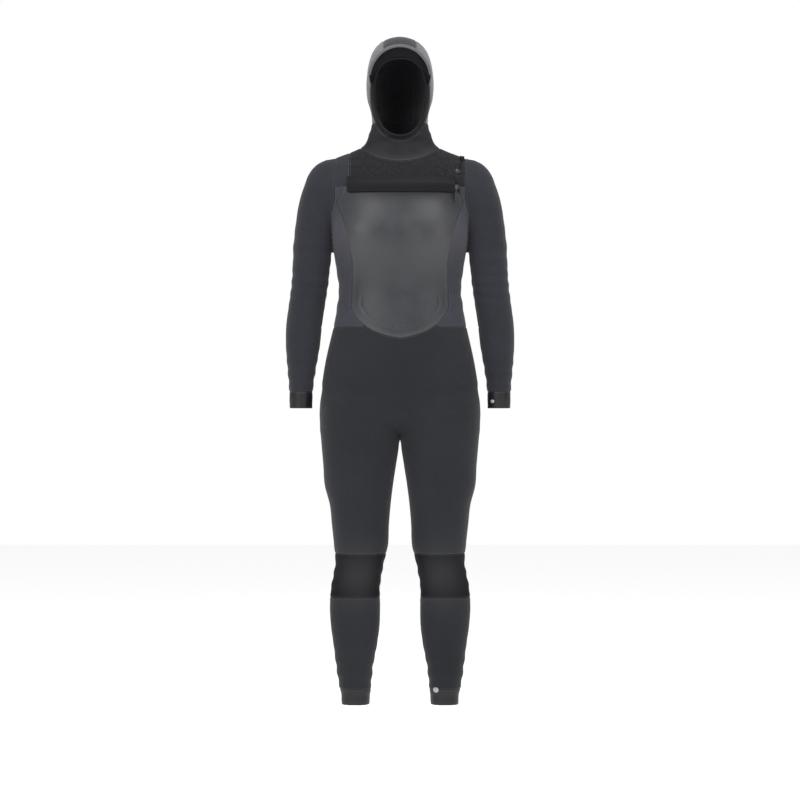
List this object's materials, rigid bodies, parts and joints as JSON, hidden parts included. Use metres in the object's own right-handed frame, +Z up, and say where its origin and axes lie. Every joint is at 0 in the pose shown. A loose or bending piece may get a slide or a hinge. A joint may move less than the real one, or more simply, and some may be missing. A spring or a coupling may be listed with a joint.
{
  "type": "full wetsuit",
  "caption": "Hooded full wetsuit in its worn shape, empty, with a brimmed hood, a chest zip under a cover flap, a framed chest panel, knee pads and sealed wrists and ankles.",
  "frame": {"origin": "centre of the neck base, on the body's mid-plane, where the neck panels meet the yoke", "axes": "+Z up towards the hood, -Y is the front of the suit, +X is the wearer's left"},
  "size_m": [0.536, 0.248, 1.564],
  "materials": {
    "hood_knit": "heathered brushed knit over foam",
    "neck_knit": "fine knit over foam, slight sheen",
    "bib_knit": "coarse heathered knit over foam",
    "smooth_skin": "smooth black rubber skin",
    "chest_skin": "semi-gloss embossed rubber skin",
    "side_knit": "stretch knit over foam",
    "sleeve_knit": "stretch knit over foam",
    "body_knit": "stretch knit over foam",
    "knee_panel": "abrasion resistant matt panel",
    "cuff_skin": "glide skin seal",
    "zip_tape": "woven tape",
    "zip_plastic": "moulded teeth",
    "metal": "corrosion resistant, satin",
    "mark": "plain heat-pressed mark"
  },
  "bodies": {
    "torso": {"neck_front": "neck_knit", "neck_back": "neck_knit", "chest_bib": "bib_knit", "shoulder_yoke_right": "sleeve_knit", "shoulder_cap_left": "sleeve_knit", "shoulder_cap_right": "sleeve_knit", "chest_panel": "chest_skin", "side_panel_left": "side_knit", "side_panel_right": "side_knit", "waist_front": "body_knit", "back_lower": "body_knit", "back_upper": "body_knit", "crotch_gusset": "body_knit", "hip_front_left": "body_knit", "hip_front_right": "body_knit", "hip_back_left": "body_knit", "hip_back_right": "body_knit", "zip_tape_upper": "zip_tape", "zip_tape_lower": "zip_tape", "storm_flap": "zip_tape", "zip_chain": "zip_plastic", "zip_stop_open": "zip_plastic", "zip_stop_closed": "zip_plastic", "zip_cover_flap": "smooth_skin", "flap_snap": "metal"},
    "hood": {"face_seal": "smooth_skin", "hood_brim": "smooth_skin", "hood_crown_strip": "hood_knit", "hood_side_left": "hood_knit", "hood_side_right": "hood_knit"},
    "zip_slider": {"zip_slider": "metal"},
    "zip_pull": {"zip_pull": "zip_tape"},
    "upper_arm_left": {"upper_sleeve_left": "sleeve_knit", "elbow_left": "sleeve_knit"},
    "forearm_left": {"forearm_left": "body_knit", "wrist_seal_left": "cuff_skin", "wrist_mark": "mark"},
    "thigh_left": {"thigh_left": "body_knit", "knee_back_left": "body_knit", "knee_pad_left": "knee_panel"},
    "shin_left": {"shin_left": "body_knit", "ankle_seal_left": "cuff_skin", "ankle_mark": "mark"},
    "upper_arm_right": {"upper_sleeve_right": "sleeve_knit", "elbow_right": "sleeve_knit"},
    "forearm_right": {"forearm_right": "body_knit", "wrist_seal_right": "cuff_skin"},
    "thigh_right": {"thigh_right": "body_knit", "knee_back_right": "body_knit", "knee_pad_right": "knee_panel"},
    "shin_right": {"shin_right": "body_knit", "ankle_seal_right": "cuff_skin"}
  },
  "joints": [
    {"name": "hood_nod", "type": "hinge", "parent": "torso", "child": "hood", "pos_m": [0, 0.01, 0.04], "axis": [1, 0, 0], "range_deg": [-15, 20], "stiffness_Nm_per_rad": 3, "deforming": ["neck_front", "neck_back"]},
    {"name": "shoulder_raise_left", "type": "hinge", "parent": "torso", "child": "upper_arm_left", "pos_m": [0.165, 0.005, -0.065], "axis": [0, -1, 0], "range_deg": [0, 80], "stiffness_Nm_per_rad": 0.3, "deforming": ["shoulder_cap_left"]},
    {"name": "elbow_flex_left", "type": "hinge", "parent": "upper_arm_left", "child": "forearm_left", "pos_m": [0.212, 0.005, -0.301], "axis": [-1, 0, 0], "range_deg": [0, 90], "stiffness_Nm_per_rad": 0.2, "deforming": ["elbow_left"]},
    {"name": "hip_flex_left", "type": "hinge", "parent": "torso", "child": "thigh_left", "pos_m": [0.093, 0.01, -0.553], "axis": [-1, 0, 0], "range_deg": [-10, 70], "stiffness_Nm_per_rad": 1, "deforming": ["hip_front_left", "hip_back_left", "crotch_gusset"]},
    {"name": "knee_flex_left", "type": "hinge", "parent": "thigh_left", "child": "shin_left", "pos_m": [0.096, 0.004, -0.975], "axis": [1, 0, 0], "range_deg": [0, 90], "stiffness_Nm_per_rad": 0.3, "deforming": ["knee_pad_left", "knee_back_left"]},
    {"name": "shoulder_raise_right", "type": "hinge", "parent": "torso", "child": "upper_arm_right", "pos_m": [-0.165, 0.005, -0.065], "axis": [0, 1, 0], "range_deg": [0, 80], "stiffness_Nm_per_rad": 0.3, "deforming": ["shoulder_cap_right"]},
    {"name": "elbow_flex_right", "type": "hinge", "parent": "upper_arm_right", "child": "forearm_right", "pos_m": [-0.212, 0.005, -0.301], "axis": [-1, 0, 0], "range_deg": [0, 90], "stiffness_Nm_per_rad": 0.2, "deforming": ["elbow_right"]},
    {"name": "hip_flex_right", "type": "hinge", "parent": "torso", "child": "thigh_right", "pos_m": [-0.093, 0.01, -0.553], "axis": [-1, 0, 0], "range_deg": [-10, 70], "stiffness_Nm_per_rad": 1, "deforming": ["hip_front_right", "hip_back_right", "crotch_gusset"]},
    {"name": "knee_flex_right", "type": "hinge", "parent": "thigh_right", "child": "shin_right", "pos_m": [-0.096, 0.004, -0.975], "axis": [1, 0, 0], "range_deg": [0, 90], "stiffness_Nm_per_rad": 0.3, "deforming": ["knee_pad_right", "knee_back_right"]},
    {"name": "zip_slide", "type": "hinge", "parent": "torso", "child": "zip_slider", "pos_m": [0, 0.296, -0.072], "axis": [0, 0, 1], "range_deg": [-35, 0], "deforming": ["zip_cover_flap"]},
    {"name": "zip_pull_swing", "type": "hinge", "parent": "zip_slider", "child": "zip_pull", "pos_m": [0.13032, -0.08249, -0.0775], "axis": [-0.9455, -0.3256, 0], "range_deg": [0, 100]}
  ]
}
